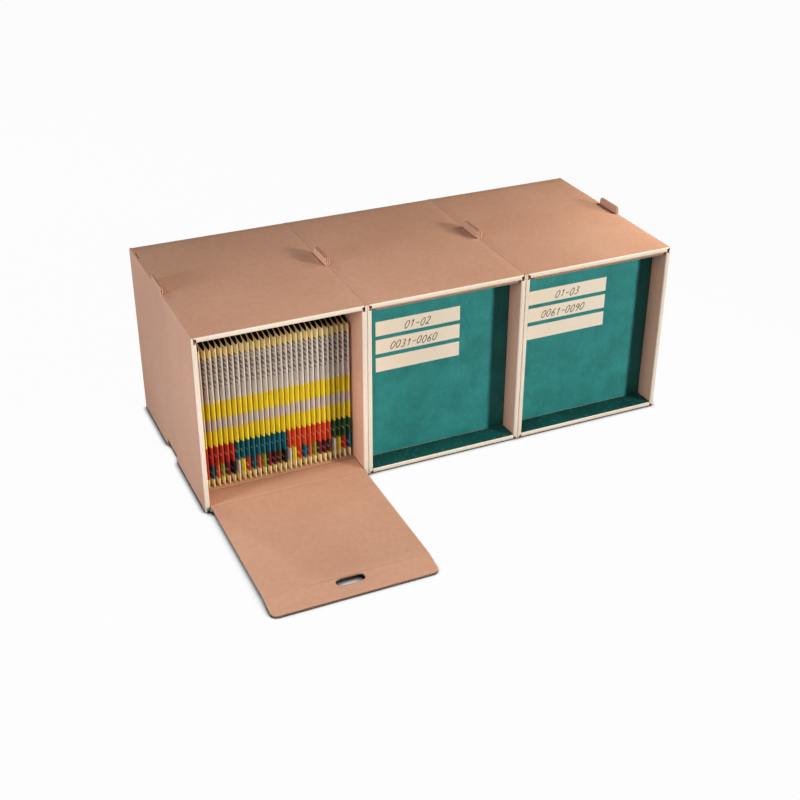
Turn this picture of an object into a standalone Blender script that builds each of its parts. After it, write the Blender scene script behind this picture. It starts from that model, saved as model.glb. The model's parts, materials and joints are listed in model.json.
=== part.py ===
# A row of three archive boxes with drop fronts. The left one is open and filled with card files.
# Metres, +X to the right, +Y to the back, +Z up. The origin is the middle of the row's footprint,
# on the surface that the boxes stand on.
import math

import bmesh
import bpy

# One box, outside, and the board that it is folded from
box_count = 3
box_width = 0.268
box_depth = 0.352
box_height = 0.296
board = 0.0035
touch_gap = 0.0003
fold_radius = 0.0018

# The door stands this far behind the front edge, on the sill and under the hem
door_recess = 0.037
door_side_gap = 0.001
lip_front_gap = 0.0008
lip_corner = 0.009
slot_width = 0.044
slot_height = 0.0135
slot_from_crease = 0.0015

# Stacking tabs on the side walls, and the notches that take those of a box below
tab_centre_share = 0.525
tab_length = 0.053
tab_height = 0.012
tab_corner = 0.004
notch_play = 0.0007
notch_rise = 0.002

# Card files in the open box
file_count = 30
file_side_gap = 0.001
file_front_gap = 0.004
file_back_gap = 0.003
file_head_room = 0.035
file_corner = 0.012
file_foot = 0.010
file_foot_share = 0.3

cut_overrun = 0.002
arc_steps = 4
open_boxes = (0,)

# Places worked out from the sizes, in one box's own frame: x from its left face, y from its front
# edge, z from its underside.
wall_pack = 2 * board + touch_gap
back_inside = box_depth - board - touch_gap
sill_top = 2 * board + touch_gap
liner_top = 3 * board + 2 * touch_gap
door_foot = sill_top + touch_gap
hem_underside = box_height - 2 * board - touch_gap
crease_height = hem_underside - touch_gap - board
door_length = crease_height - door_foot
lip_length = door_recess - lip_front_gap
door_width = box_width - 2 * wall_pack - 2 * door_side_gap
liner_front = door_recess + board + touch_gap
tab_centre = box_depth * tab_centre_share
notch_half = tab_length / 2 + notch_play
notch_height = tab_height + notch_rise
row_width = box_count * box_width + (box_count - 1) * touch_gap
crease_rest = math.asin((door_foot - touch_gap) / lip_length)
right_angle = math.pi / 2


def clear_scene():
    for old in list(bpy.data.objects):
        bpy.data.objects.remove(old, do_unlink=True)


def finish_material(name, colour, roughness):
    material = bpy.data.materials.new(name)
    material.use_nodes = True
    shader = material.node_tree.nodes["Principled BSDF"]
    shader.inputs["Base Color"].default_value = (*colour, 1)
    shader.inputs["Roughness"].default_value = roughness
    shader.inputs["Metallic"].default_value = 0
    material.diffuse_color = (*colour, 1)
    return material


def arc(centre, radius, start, end):
    """Points of a round corner, from one angle to another, both in quarter turns."""
    points = []
    for step in range(arc_steps + 1):
        turn = right_angle * (start + (end - start) * step / arc_steps)
        points.append((centre[0] + radius * math.cos(turn), centre[1] + radius * math.sin(turn)))
    return points


def extruded(name, outline, along, low, high):
    """A mesh: a flat outline carried along x, where it is given in y and z, or along y, in x and z."""
    bm = bmesh.new()
    if along == "x":
        corners = [bm.verts.new((low, a, b)) for a, b in outline]
        travel = (high - low, 0, 0)
    else:
        corners = [bm.verts.new((a, low, b)) for a, b in outline]
        travel = (0, high - low, 0)
    face = bm.faces.new(corners)
    grown = bmesh.ops.extrude_face_region(bm, geom=[face])
    moved = [part for part in grown["geom"] if isinstance(part, bmesh.types.BMVert)]
    bmesh.ops.translate(bm, verts=moved, vec=travel)
    bmesh.ops.recalc_face_normals(bm, faces=bm.faces)
    mesh = bpy.data.meshes.new(name)
    bm.to_mesh(mesh)
    bm.free()
    return mesh


def place(name, mesh, material, parent, location=(0, 0, 0), turn=0):
    """An object on its parent, turned about x where it is a hinged piece."""
    piece = bpy.data.objects.new(name, mesh)
    bpy.context.collection.objects.link(piece)
    if not mesh.materials:
        mesh.materials.append(material)
    piece.parent = parent
    piece.location = location
    piece.rotation_euler = (turn, 0, 0)
    return piece


def empty(name, location, parent=None):
    frame = bpy.data.objects.new(name, None)
    bpy.context.collection.objects.link(frame)
    frame.parent = parent
    frame.location = location
    return frame


def rectangle(a_low, a_high, b_low, b_high):
    return [(a_low, b_low), (a_high, b_low), (a_high, b_high), (a_low, b_high)]


def hem_outline(flip):
    """Bottom or top panel in y and z: a board with its front edge folded back on its inner side."""
    lower = arc((fold_radius, fold_radius), fold_radius, 3, 2)
    upper = arc((fold_radius, sill_top - fold_radius), fold_radius, 2, 1)
    rest = [
        (door_recess, sill_top),
        (door_recess, board + touch_gap),
        (board, board + touch_gap),
        (board, board),
        (box_depth, board),
        (box_depth, 0),
    ]
    points = lower + upper + rest
    return [(y, box_height - z) for y, z in points] if flip else points


def wall_outline():
    """Outer side panel in y and z, with its notch below and its tab above."""
    tab_front = tab_centre - tab_length / 2
    tab_back = tab_centre + tab_length / 2
    tab_top = box_height + tab_height
    notch = [
        (tab_centre - notch_half, 0),
        (tab_centre - notch_half, notch_height),
        (tab_centre + notch_half, notch_height),
        (tab_centre + notch_half, 0),
    ]
    back_corner = arc((tab_back - tab_corner, tab_top - tab_corner), tab_corner, 0, 1)
    front_corner = arc((tab_front + tab_corner, tab_top - tab_corner), tab_corner, 1, 2)
    tab = [(tab_back, box_height)] + back_corner + front_corner + [(tab_front, box_height)]
    return [(0, 0)] + notch + [(box_depth, 0), (box_depth, box_height)] + tab + [(0, box_height)]


def lining_outline():
    """Inner side panel in y and z: stepped over the sill and under the hem, notched like the wall."""
    low = board + touch_gap
    high = box_height - board - touch_gap
    step = door_recess + touch_gap
    return [
        (0, door_foot),
        (step, door_foot),
        (step, low),
        (tab_centre - notch_half, low),
        (tab_centre - notch_half, notch_height),
        (tab_centre + notch_half, notch_height),
        (tab_centre + notch_half, low),
        (back_inside, low),
        (back_inside, high),
        (step, high),
        (step, hem_underside - touch_gap),
        (0, hem_underside - touch_gap),
    ]


def lip_outline():
    """Tuck lip in x and z, standing up from its crease, with its two free corners rounded."""
    half = door_width / 2
    right = arc((half - lip_corner, lip_length - lip_corner), lip_corner, 0, 1)
    left = arc((lip_corner - half, lip_length - lip_corner), lip_corner, 1, 2)
    return [(-half, touch_gap / 2), (half, touch_gap / 2)] + right + left


def slot_outline():
    """Finger slot in x and z: a stadium that lies along the crease."""
    radius = slot_height / 2
    height = slot_from_crease + radius
    reach = slot_width / 2 - radius
    return arc((reach, height), radius, -1, 0) + arc((reach, height), radius, 0, 1) + arc(
        (-reach, height), radius, 1, 2
    ) + arc((-reach, height), radius, 2, 3)


def without_repeats(points):
    """The same outline with each point that repeats the one before it left out."""
    kept = []
    for point in points:
        if not kept or math.dist(point, kept[-1]) > touch_gap / 10:
            kept.append(point)
    return kept


def build_shell(name, frame, finishes):
    """The fixed panels of one box."""
    inner_low = board + touch_gap
    inner_high = box_width - board - touch_gap
    kraft = finishes["kraft"]
    base = extruded(name + "_base", hem_outline(False), "x", inner_low, inner_high)
    place(name + "_base", base, finishes["sill"], frame)
    top = extruded(name + "_top", hem_outline(True), "x", inner_low, inner_high)
    place(name + "_top", top, kraft, frame)
    back = extruded(
        name + "_back",
        rectangle(box_depth - board, box_depth, board + touch_gap, box_height - board - touch_gap),
        "x",
        inner_low,
        inner_high,
    )
    place(name + "_back", back, kraft, frame)
    sides = (
        ("left_wall", wall_outline(), 0, board),
        ("right_wall", wall_outline(), box_width - board, box_width),
        ("left_lining", lining_outline(), inner_low, wall_pack),
        ("right_lining", lining_outline(), box_width - wall_pack, inner_high),
    )
    for side, outline, low, high in sides:
        mesh = extruded(name + "_" + side, outline, "x", low, high)
        place(name + "_" + side, mesh, kraft if "wall" in side else finishes["lining"], frame)
    liner = extruded(
        name + "_floor_liner",
        rectangle(liner_front, back_inside, board + touch_gap, liner_top),
        "x",
        wall_pack + touch_gap,
        box_width - wall_pack - touch_gap,
    )
    place(name + "_floor_liner", liner, finishes["lining"], frame)


def build_door(name, frame, finishes, is_open):
    """The drop front on its sill crease, and the tuck lip on the crease at the door's far edge."""
    half = door_width / 2
    panel = extruded(
        name + "_door",
        rectangle(0, board, touch_gap / 2, door_length - touch_gap / 2),
        "x",
        -half,
        half,
    )
    hinge = (box_width / 2, door_recess, door_foot)
    door = place(name + "_door", panel, finishes["door"], frame, hinge, right_angle if is_open else 0)
    lip_mesh = extruded(name + "_lip", without_repeats(lip_outline()), "y", 0, board)
    lip_turn = crease_rest if is_open else right_angle
    lip = place(name + "_lip", lip_mesh, finishes["door"], door, (0, 0, door_length), lip_turn)
    cut_mesh = extruded(
        name + "_slot", without_repeats(slot_outline())[:-1], "y", -cut_overrun, board + cut_overrun
    )
    cutter = place(name + "_slot", cut_mesh, finishes["door"], lip)
    cutter.hide_render = True
    cutter.display_type = "WIRE"
    slot = lip.modifiers.new("finger slot", "BOOLEAN")
    slot.operation = "DIFFERENCE"
    slot.solver = "EXACT"
    slot.object = cutter


def file_mesh(thickness, depth, height):
    """One card file: a rounded front corner above, and a spine that narrows to a V below."""
    corner = arc((file_corner, height - file_corner), file_corner, 1, 2)
    outline = [(0, 0), (depth, 0), (depth, height)] + corner
    mesh = extruded("card_file", outline, "x", -thickness / 2, thickness / 2)
    bm = bmesh.new()
    bm.from_mesh(mesh)
    everything = bm.verts[:] + bm.edges[:] + bm.faces[:]
    bmesh.ops.bisect_plane(bm, geom=everything, plane_co=(0, 0, file_foot), plane_no=(0, 0, 1))
    for vert in bm.verts:
        if vert.co.z < file_foot / 2:
            vert.co.x *= file_foot_share
    bmesh.ops.recalc_face_normals(bm, faces=bm.faces)
    bm.to_mesh(mesh)
    bm.free()
    return mesh


def build_files(frame, finishes):
    """The card files, standing side by side on the floor liner."""
    first = wall_pack + file_side_gap
    pitch = (box_width - 2 * first) / file_count
    front = liner_front + file_front_gap
    depth = box_depth - board - file_back_gap - front
    height = hem_underside - file_head_room - liner_top
    mesh = file_mesh(pitch - touch_gap, depth, height)
    slide = empty("files_slide", (0, front, liner_top + touch_gap), frame)
    for number in range(file_count):
        name = "file_" + str(number + 1).zfill(2)
        place(name, mesh, finishes["file"], slide, (first + pitch * (number + 1 / 2), 0, 0))


def build_row():
    finishes = {
        "kraft": finish_material("kraft board", (0.60, 0.39, 0.27), 0.85),
        "lining": finish_material("kraft lining", (0.50, 0.32, 0.22), 0.88),
        "sill": finish_material("base with printed sill", (0.03, 0.16, 0.14), 0.8),
        "door": finish_material("green printed board", (0.03, 0.22, 0.19), 0.75),
        "file": finish_material("yellow file card", (0.78, 0.62, 0.24), 0.7),
    }
    for number in range(box_count):
        left = number * (box_width + touch_gap) - row_width / 2
        name = "box_" + str(number + 1)
        frame = empty(name + "_frame", (left, -box_depth / 2, 0))
        is_open = number in open_boxes
        build_shell(name, frame, finishes)
        build_door(name, frame, finishes, is_open)
        if is_open:
            build_files(frame, finishes)


clear_scene()
build_row()
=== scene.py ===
# Three archive boxes in a row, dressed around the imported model: folded board, green print, card files.
import json
import math

import bmesh
import bpy
import numpy as np
from mathutils import Matrix, Vector


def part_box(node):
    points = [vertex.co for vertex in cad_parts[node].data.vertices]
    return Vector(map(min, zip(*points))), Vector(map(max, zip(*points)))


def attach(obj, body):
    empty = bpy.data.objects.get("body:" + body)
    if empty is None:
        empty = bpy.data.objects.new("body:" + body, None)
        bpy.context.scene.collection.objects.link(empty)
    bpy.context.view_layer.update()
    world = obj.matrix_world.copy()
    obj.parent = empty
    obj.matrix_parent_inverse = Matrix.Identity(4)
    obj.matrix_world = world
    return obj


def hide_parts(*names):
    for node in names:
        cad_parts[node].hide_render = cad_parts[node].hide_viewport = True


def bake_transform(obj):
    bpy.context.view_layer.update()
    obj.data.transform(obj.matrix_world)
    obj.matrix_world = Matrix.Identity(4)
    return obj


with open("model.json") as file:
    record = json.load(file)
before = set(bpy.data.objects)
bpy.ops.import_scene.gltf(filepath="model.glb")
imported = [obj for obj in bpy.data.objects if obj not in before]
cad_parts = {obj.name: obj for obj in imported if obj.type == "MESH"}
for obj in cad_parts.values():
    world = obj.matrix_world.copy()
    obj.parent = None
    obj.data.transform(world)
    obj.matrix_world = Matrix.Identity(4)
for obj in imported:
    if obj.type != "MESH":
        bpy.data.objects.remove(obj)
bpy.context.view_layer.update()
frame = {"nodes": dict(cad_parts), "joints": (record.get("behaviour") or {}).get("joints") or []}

mm = 0.001
print("frame loaded,", len(frame["nodes"]), "nodes")


# Sizes of the boxes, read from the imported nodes

def corners(node):
    low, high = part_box(node)
    return np.array(low), np.array(high)


def jointPlace(name):
    joint = next(j for j in frame["joints"] if j["name"] == name)
    return np.array(joint["pos_m"])


def boxSizes(number):
    name = f"box_{number}_"
    wallLow, wallHigh = corners(name + "left_wall")
    liningHigh = corners(name + "left_lining")[1]
    topLow, topHigh = corners(name + "top")
    linerLow, linerHigh = corners(name + "floor_liner")
    return {
        "name": name,
        "number": number,
        "left": wallLow[0],
        "right": corners(name + "right_wall")[1][0],
        "front": wallLow[1],
        "rear": wallHigh[1],
        "height": topHigh[2],
        "board": wallHigh[0] - wallLow[0],
        "pack": liningHigh[0] - wallLow[0],
        "liningRear": liningHigh[1],
        "liningTop": liningHigh[2],
        "sillTop": corners(name + "base")[1][2],
        "hemUnder": topLow[2],
        "tabTop": wallHigh[2],
        "linerLow": linerLow,
        "linerHigh": linerHigh,
        "hinge": jointPlace(f"door_{number}_hinge"),
        "crease": jointPlace(f"lip_{number}_crease"),
        "isOpen": number == 1,
    }


boxes = [boxSizes(number) for number in (1, 2, 3)]
board = boxes[0]["board"]
touch = boxes[1]["left"] - boxes[0]["right"]
recess = boxes[0]["hinge"][1] - boxes[0]["front"]
doorLength = boxes[1]["crease"][2] - boxes[1]["hinge"][2]
lipRest = math.radians(90) - math.radians(
    next(j for j in frame["joints"] if j["name"] == "lip_1_crease")["range_deg"][1])

foldLook = {
    "radius": 1.8 * mm,          # outside of a folded edge
    "closeRadius": 0.3 * mm,     # the same on a wall that touches a neighbour
    "cutEase": 0.5 * mm,         # rounding of a cut edge
    "stripTopDrop": 9.6 * mm,    # the side strips end this far under the top
    "stripFoot": 3.4 * mm,       # and this far over the ground
    "stripInset": 2.6 * mm,      # where the strip's end starts, from the outer face
    "tabCentreShare": 0.525,     # of the depth, from the front
    "tabLength": 53 * mm,
    "tabCorner": 4 * mm,
    "notchPlay": 0.7 * mm,
    "notchRise": 2 * mm,
    "slit": 1.9 * mm,            # opening in the top beside a tab
    "rearSlit": (0.868, 0.932),  # share of the depth, on the left box's top edge
    "sag": 0.9 * mm,             # how far a big panel gives
    "hair": 0.15 * mm,           # step between two stations where an outline jumps
    "slitPlay": 1.2 * mm,        # the slit beside a tab is longer at each end
    "hemThin": 0.6 * mm,         # the folded hems are pressed this much thinner
    "noseStep": 0.4 * mm,        # from the round front edge to the panel's first station
    "tightEase": 0.04 * mm,      # rounding of an edge that hides in a fold
    "innerEase": 0.03 * mm,
    "creaseCore": 0.25 * mm,     # radius of a crease's inner skin
    "seamDepth": 0.8 * mm,       # groove where the floor flanges meet
    "seamReach": 0.7 * mm,
}
cornerTurns = np.radians([0, 30, 60])
quarterTurns = np.radians([0, 22.5, 45, 67.5, 90])


# Colours and finishes

def toned(code):
    # hex colour to the linear values that Blender's shaders take
    parts = np.array([int(code[i:i + 2], 16) for i in (0, 2, 4)]) / 255
    linear = np.where(parts <= 0.04045, parts / 12.92, ((parts + 0.055) / 1.055) ** 2.4)
    return (*linear.tolist(), 1)


def newFinish(name, roughness):
    finish = bpy.data.materials.new(name)
    finish.use_nodes = True
    tree = finish.node_tree
    shader = tree.nodes["Principled BSDF"]
    shader.inputs["Roughness"].default_value = roughness
    shader.inputs["Specular IOR Level"].default_value = 0.25
    return finish, tree, shader


def addNode(tree, kind, inputs, **settings):
    made = tree.nodes.new(kind)
    for key, value in settings.items():
        setattr(made, key, value)
    for key, value in inputs.items():
        if isinstance(value, bpy.types.NodeSocket):
            tree.links.new(value, made.inputs[key])
        else:
            made.inputs[key].default_value = value
    return made


def objectPlace(tree, stretch=None):
    place = addNode(tree, "ShaderNodeTexCoord", {}).outputs["Object"]
    if stretch:
        place = addNode(tree, "ShaderNodeMapping", {"Vector": place, "Scale": stretch}).outputs[0]
    return place


def noiseOf(tree, place, scale, detail=2, roughness=0.5):
    inputs = {"Vector": place, "Scale": scale, "Detail": detail, "Roughness": roughness}
    return addNode(tree, "ShaderNodeTexNoise", inputs).outputs["Fac"]


def calc(tree, operation, first, second=0.0, third=None):
    inputs = {0: first, 1: second}
    if third is not None:
        inputs[2] = third
    return addNode(tree, "ShaderNodeMath", inputs, operation=operation).outputs[0]


def ramped(tree, value, low, high, start=0.0, end=1.0):
    inputs = {"Value": value, "From Min": low, "From Max": high, "To Min": start, "To Max": end}
    return addNode(tree, "ShaderNodeMapRange", inputs, clamp=True).outputs[0]


def mixed(tree, share, first, second):
    made = tree.nodes.new("ShaderNodeMix")
    made.data_type = "RGBA"
    for index, value in ((0, share), (6, first), (7, second)):
        if isinstance(value, bpy.types.NodeSocket):
            tree.links.new(value, made.inputs[index])
        else:
            made.inputs[index].default_value = value
    return made.outputs[2]


def bumped(tree, shader, height, distance, strength=1.0):
    inputs = {"Height": height, "Distance": distance, "Strength": strength}
    made = addNode(tree, "ShaderNodeBump", inputs)
    tree.links.new(made.outputs[0], shader.inputs["Normal"])


paperLook = {
    "cloud": 6,          # soft clouds, per metre
    "mottle": 130,       # mottling of the pulp
    "fibre": 900,        # single fibres
    "flutePitch": 6.4 * mm,
    "fluteShare": 0.10,  # how much the flutes show through in the bump
    "outside": ("D5A588", "C89477", "A8785C"),   # light, dark and fibre tones
    "inside": ("CB9C7C", "BC8A6B", "98705A"),
    # the folded tones are much paler than the board: a painted highlight on the front folds, which face the
    # key lamp
    "folded": ("F7EAD8", "EFDCC6", "DBBDA2"),
    "label": ("FBEFDD", "F5E4CB", "E3CCAE"),
    # the hollow tone is painted shade in the open flutes
    "hollow": "7A553E",  # cut edge: between the liners
    "cut": "CDA384",     # and the cut paper itself
}


def boardFinish(name, tones, roughness, fluteAxis="X"):
    # Kraft liner: clouds and mottles mix two tones, fine fibres darken it in flecks, and the flutes
    # underneath show as a faint washboard.
    light, dark, fibre = (toned(code) for code in paperLook[tones])
    finish, tree, shader = newFinish(name, roughness)
    place = objectPlace(tree)
    cloud = noiseOf(tree, place, paperLook["cloud"], 2)
    mottle = noiseOf(tree, place, paperLook["mottle"], 3)
    blend = calc(tree, "ADD", calc(tree, "MULTIPLY", cloud, 0.6), calc(tree, "MULTIPLY", mottle, 0.4))
    tone = mixed(tree, ramped(tree, blend, 0.30, 0.70), dark, light)
    fibres = noiseOf(tree, objectPlace(tree, (0.45, 1, 1)), paperLook["fibre"], 4, 0.65)
    tone = mixed(tree, ramped(tree, fibres, 0.56, 0.74, 0, 0.55), tone, fibre)
    tree.links.new(tone, shader.inputs["Base Color"])
    waveScale = 2 * math.pi / (20 * paperLook["flutePitch"])
    flutes = addNode(tree, "ShaderNodeTexWave", {"Vector": place, "Scale": waveScale, "Distortion": 0.0},
                     wave_type="BANDS", bands_direction=fluteAxis).outputs["Fac"]
    height = calc(tree, "MULTIPLY_ADD", flutes, paperLook["fluteShare"], fibres)
    bumped(tree, shader, height, 0.10 * mm, 0.5)
    return finish


printLook = {
    "tone": toned("308F8B"),
    "deep": toned("277B78"),
    "worn": toned("53A89F"),
    "mark": toned("195754"),
    # the sill's tones are darker than the door's print: painted shade on the upward face at the foot of the
    # recess, where little light falls
    "sillTone": toned("0E5650"),
    "sillDeep": toned("0A4743"),
}


def printFinish(name, tone, deep):
    # Green print on board: a little thicker and thinner ink, short upright marks and rubbed specks.
    finish, tree, shader = newFinish(name, 0.6)
    place = objectPlace(tree)
    cloud = noiseOf(tree, place, 26, 4, 0.65)
    ink = mixed(tree, ramped(tree, cloud, 0.34, 0.66), deep, tone)
    haze = noiseOf(tree, objectPlace(tree, (1, 0.6, 0.5)), 190, 3, 0.6)
    ink = mixed(tree, ramped(tree, haze, 0.56, 0.80, 0, 0.4), ink, printLook["worn"])
    marks = noiseOf(tree, objectPlace(tree, (1, 0.4, 0.35)), 330, 3, 0.7)
    ink = mixed(tree, ramped(tree, marks, 0.60, 0.74, 0, 0.45), ink, printLook["mark"])
    tree.links.new(ink, shader.inputs["Base Color"])
    tree.links.new(ramped(tree, cloud, 0.3, 0.7, 0.52, 0.68), shader.inputs["Roughness"])
    bumped(tree, shader, noiseOf(tree, place, paperLook["fibre"], 4, 0.6), 0.08 * mm, 0.4)
    return finish


def cutEdgeFinish():
    # Cut edge of corrugated board: two liners with the wavy flute between them, and the hollows between them
    # painted dark, painted shade.
    # The wave's height is a sine of the distance along the edge, from the piece's own map.
    finish, tree, shader = newFinish("cutEdge", 0.9)
    edgeMap = addNode(tree, "ShaderNodeUVMap", {}, uv_map="board").outputs[0]
    parts = addNode(tree, "ShaderNodeSeparateXYZ", {0: edgeMap})
    turn = calc(tree, "MULTIPLY", parts.outputs[0], 2 * math.pi / paperLook["flutePitch"])
    crest = calc(tree, "MULTIPLY_ADD", calc(tree, "SINE", turn), 0.33, 0.5)
    away = calc(tree, "ABSOLUTE", calc(tree, "SUBTRACT", parts.outputs[1], crest))
    flute = ramped(tree, away, 0.10, 0.16, 1, 0)
    middle = calc(tree, "ABSOLUTE", calc(tree, "SUBTRACT", parts.outputs[1], 0.5))
    liner = ramped(tree, middle, 0.36, 0.40)
    paper = calc(tree, "MAXIMUM", flute, liner)
    tone = mixed(tree, paper, toned(paperLook["hollow"]), toned(paperLook["cut"]))
    tree.links.new(tone, shader.inputs["Base Color"])
    bumped(tree, shader, paper, 0.6 * mm, 0.6)
    return finish


def cardFinish(name, tone, shade, roughness=0.6):
    # Smooth card or a paper label: one tone with a light clouding and a fine grain.
    finish, tree, shader = newFinish(name, roughness)
    place = objectPlace(tree)
    cloud = noiseOf(tree, place, 55, 3, 0.6)
    grain = noiseOf(tree, place, 1300, 2, 0.6)
    share = calc(tree, "MULTIPLY_ADD", grain, 0.35, calc(tree, "MULTIPLY", cloud, 0.65))
    tree.links.new(mixed(tree, ramped(tree, share, 0.35, 0.65), shade, tone), shader.inputs["Base Color"])
    bumped(tree, shader, grain, 0.03 * mm, 0.4)
    return finish


kraftUpright = boardFinish("kraftUpright", "outside", 0.85, "Y")
kraftLevel = boardFinish("kraftLevel", "outside", 0.82)
kraftInside = boardFinish("kraftInside", "inside", 0.9)
foldPaintedHighlight = boardFinish("foldedEdge", "folded", 0.8)
labelField = boardFinish("labelField", "label", 0.75)
greenPrint = printFinish("greenPrint", printLook["tone"], printLook["deep"])
sillPrint = printFinish("sillPrint", printLook["sillTone"], printLook["sillDeep"])
cutEdge = cutEdgeFinish()
# dark brown edges behind the notches: painted shade
shadedEdge = cardFinish("shadedEdge", toned("3A2A22"), toned("241A15"), 0.95)
penInk = cardFinish("penInk", toned("3F3027"), toned("2C211A"), 0.5)
print("board finishes made")


# Surfaces: a grid of points as quads, several grids joined to one closed mesh

def joined(*runs):
    return np.concatenate(runs)


def stacked(*values):
    # values of one place side by side, in a last axis
    return np.stack(np.broadcast_arrays(*values), -1)


def bothSides(middle, half):
    return middle + np.array([-1, 1]) * half


def blankMap(points):
    return np.zeros(points.shape[:2] + (2,))


def gridQuads(rows, columns, offset):
    r, c = np.meshgrid(np.arange(rows - 1), np.arange(columns - 1), indexing="ij")
    first = offset + r * columns + c
    return stacked(first, first + 1, first + columns + 1, first + columns).reshape(-1, 4)


def meshOf(name, grids, finishes, smoothAngle=38, caps=()):
    # Each grid is (points, map, paint): rows by columns of places, of map places, and of finish numbers.
    # Equal points of neighbouring grids are merged, which closes the mesh, and its faces then turn out.
    points, quads, maps, paints, offset = [], [], [], [], 0
    for places, plan, paint in grids:
        rows, columns = places.shape[:2]
        cells = gridQuads(rows, columns, 0)
        points.append(places.reshape(-1, 3))
        quads.append(cells + offset)
        maps.append(plan.reshape(-1, 2)[cells].reshape(-1, 2))
        paints.append(np.broadcast_to(paint, (rows - 1, columns - 1)).ravel())
        offset += rows * columns
    faces = np.concatenate(quads).tolist()
    for cap in caps:
        points.append(cap)
        faces.append(list(range(offset, offset + len(cap))))
        maps.append(np.zeros((len(cap), 2)))
        paints.append(np.zeros(1, int))
        offset += len(cap)
    mesh = bpy.data.meshes.new(name)
    mesh.from_pydata(np.concatenate(points).tolist(), [], faces)
    mesh.uv_layers.new(name="board").data.foreach_set("uv", np.concatenate(maps).astype(np.float32).ravel())
    mesh.polygons.foreach_set("material_index", np.concatenate(paints).astype(np.int32))
    bm = bmesh.new()
    bm.from_mesh(mesh)
    bmesh.ops.remove_doubles(bm, verts=bm.verts, dist=0.002 * mm)
    bmesh.ops.recalc_face_normals(bm, faces=bm.faces)
    bm.to_mesh(mesh)
    bm.free()
    for finish in finishes:
        mesh.materials.append(finish)
    mesh.shade_smooth()
    mesh.set_sharp_from_angle(angle=math.radians(smoothAngle))
    piece = bpy.data.objects.new(name, mesh)
    bpy.context.scene.collection.objects.link(piece)
    return piece


def settle(piece, body, slot, *nodes):
    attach(piece, body)
    if nodes:
        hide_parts(*nodes)
    return piece


def unit(vectors):
    return vectors / np.linalg.norm(vectors, axis=-1, keepdims=True)


def easedEnds(outer, inner, limits, ease):
    # The sheet's two ends are rounded: at each, the skins close in by r(1 - sin) where they are
    # r(1 - cos) along, for three steps of a quarter turn.
    along = (ease * (1 - np.cos(cornerTurns)))[:, None]
    sink = (ease * (1 - np.sin(cornerTurns)))[:, None]
    results = [outer.copy(), inner.copy()]
    for end, order in ((0, 1), (-1, -1)):
        step = 1 if end == 0 else -2
        inward = unit(outer[step] - outer[end])
        across = unit(outer[end] - inner[end])
        ringOut = (outer[end] + inward * along - across * sink)[::order]
        ringIn = (inner[end] + inward * along + across * sink)[::order]
        for which, ring in ((0, ringOut), (1, ringIn)):
            base = results[which]
            base[end] = base[end] + inward * ease
            results[which] = np.concatenate([ring, base] if end == 0 else [base, ring])
    grown = [joined(np.repeat(v[:1], 3), v, np.repeat(v[-1:], 3)) for v in limits]
    return results[0], results[1], grown


def edgeRows(low, high, easeLow, easeHigh, shares):
    # Places across the sheet and how far the skin sinks there: rounded at both cut edges.
    leadLow, leadHigh = (e[:, None] * (1 - np.cos(cornerTurns)) for e in (easeLow, easeHigh))
    sinkLow, sinkHigh = (e[:, None] * (1 - np.sin(cornerTurns)) for e in (easeLow, easeHigh))
    first, last = (low + easeLow)[:, None], (high - easeHigh)[:, None]
    body = first + (last - first) * shares
    places = np.concatenate([low[:, None] + leadLow, body, (high[:, None] - leadHigh)[:, ::-1]], 1)
    sinks = np.concatenate([sinkLow, np.zeros_like(body), sinkHigh[:, ::-1]], 1)
    return places, sinks


def foldedSheet(name, outer, inner, low, high, carry, finishes, shares, ease=None, easeInner=None,
                endEase=foldLook["cutEase"], paintOuter=0, paintInner=0, shape=None, rims=None):
    # A board: two skins, each a line in a plane carried across it from low to high. carry(a, b, t)
    # turns the plane's a and b and the place t across it into points. Cut edges are rounded. A paint is
    # a finish number or works numbers out of the faces' centres, and rims numbers the long cut edges.
    size = len(outer)
    easeOut = np.full(size, foldLook["cutEase"]) if ease is None else ease
    easeIn = np.full(size, foldLook["cutEase"]) if easeInner is None else easeInner
    outer, inner, limits = easedEnds(outer, inner, [low, high, easeOut, easeIn], endEase)
    low, high, easeOut, easeIn = limits
    across = unit(outer - inner)
    length = joined([0], np.cumsum(np.linalg.norm(np.diff(outer, axis=0), axis=1)))
    skins = []
    for line, side, eased in ((outer, -1, easeOut), (inner, 1, easeIn)):
        places, sinks = edgeRows(low, high, eased, eased, shares)
        flat = line[:, None, :] + side * across[:, None, :] * sinks[..., None]
        points = carry(flat[..., 0], flat[..., 1], places)
        plan = stacked(np.broadcast_to(length[:, None], places.shape), places)
        skins.append((points if shape is None else shape(points), plan))
    (outPoints, outPlan), (inPoints, inPlan) = skins
    cut = len(finishes) - 1
    grids = []
    for points, plan, paint in ((outPoints, outPlan, paintOuter), (inPoints, inPlan, paintInner)):
        centres = (points[1:, 1:] + points[:-1, :-1] + points[1:, :-1] + points[:-1, 1:]) / 4
        grids.append((points, plan, paint(centres) if callable(paint) else paint))
    zero, one = np.zeros(len(outer)), np.ones(len(outer))
    rims = np.full(size, cut) if rims is None else rims
    rim = joined(rims[:1].repeat(3), np.maximum(rims[:-1], rims[1:]), rims[-1:].repeat(3))
    for row in (0, -1):
        edge = np.stack([outPoints[:, row], inPoints[:, row]], 1)
        plan = np.stack([stacked(length, zero), stacked(length, one)], 1)
        grids.append((edge, plan, rim[:, None]))
    for end in (0, -1):
        edge = np.stack([outPoints[end], inPoints[end]], 1)
        reach = outPlan[end][:, 1]
        plan = np.stack([stacked(reach, reach * 0), stacked(reach, reach * 0 + 1)], 1)
        grids.append((edge, plan, cut))
    return meshOf(name, grids, finishes)


def arcLine(centre, radius, start, end):
    # Round corner from one angle to another, in degrees
    turns = np.radians(start) + np.radians(end - start) * quarterTurns / quarterTurns[-1]
    return stacked(centre[0] + radius * np.cos(turns), centre[1] + radius * np.sin(turns))


def line(first, last, count=2):
    return np.linspace(first, last, count)


# The sides: outer wall, front strip and lining are one board folded back on itself

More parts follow.
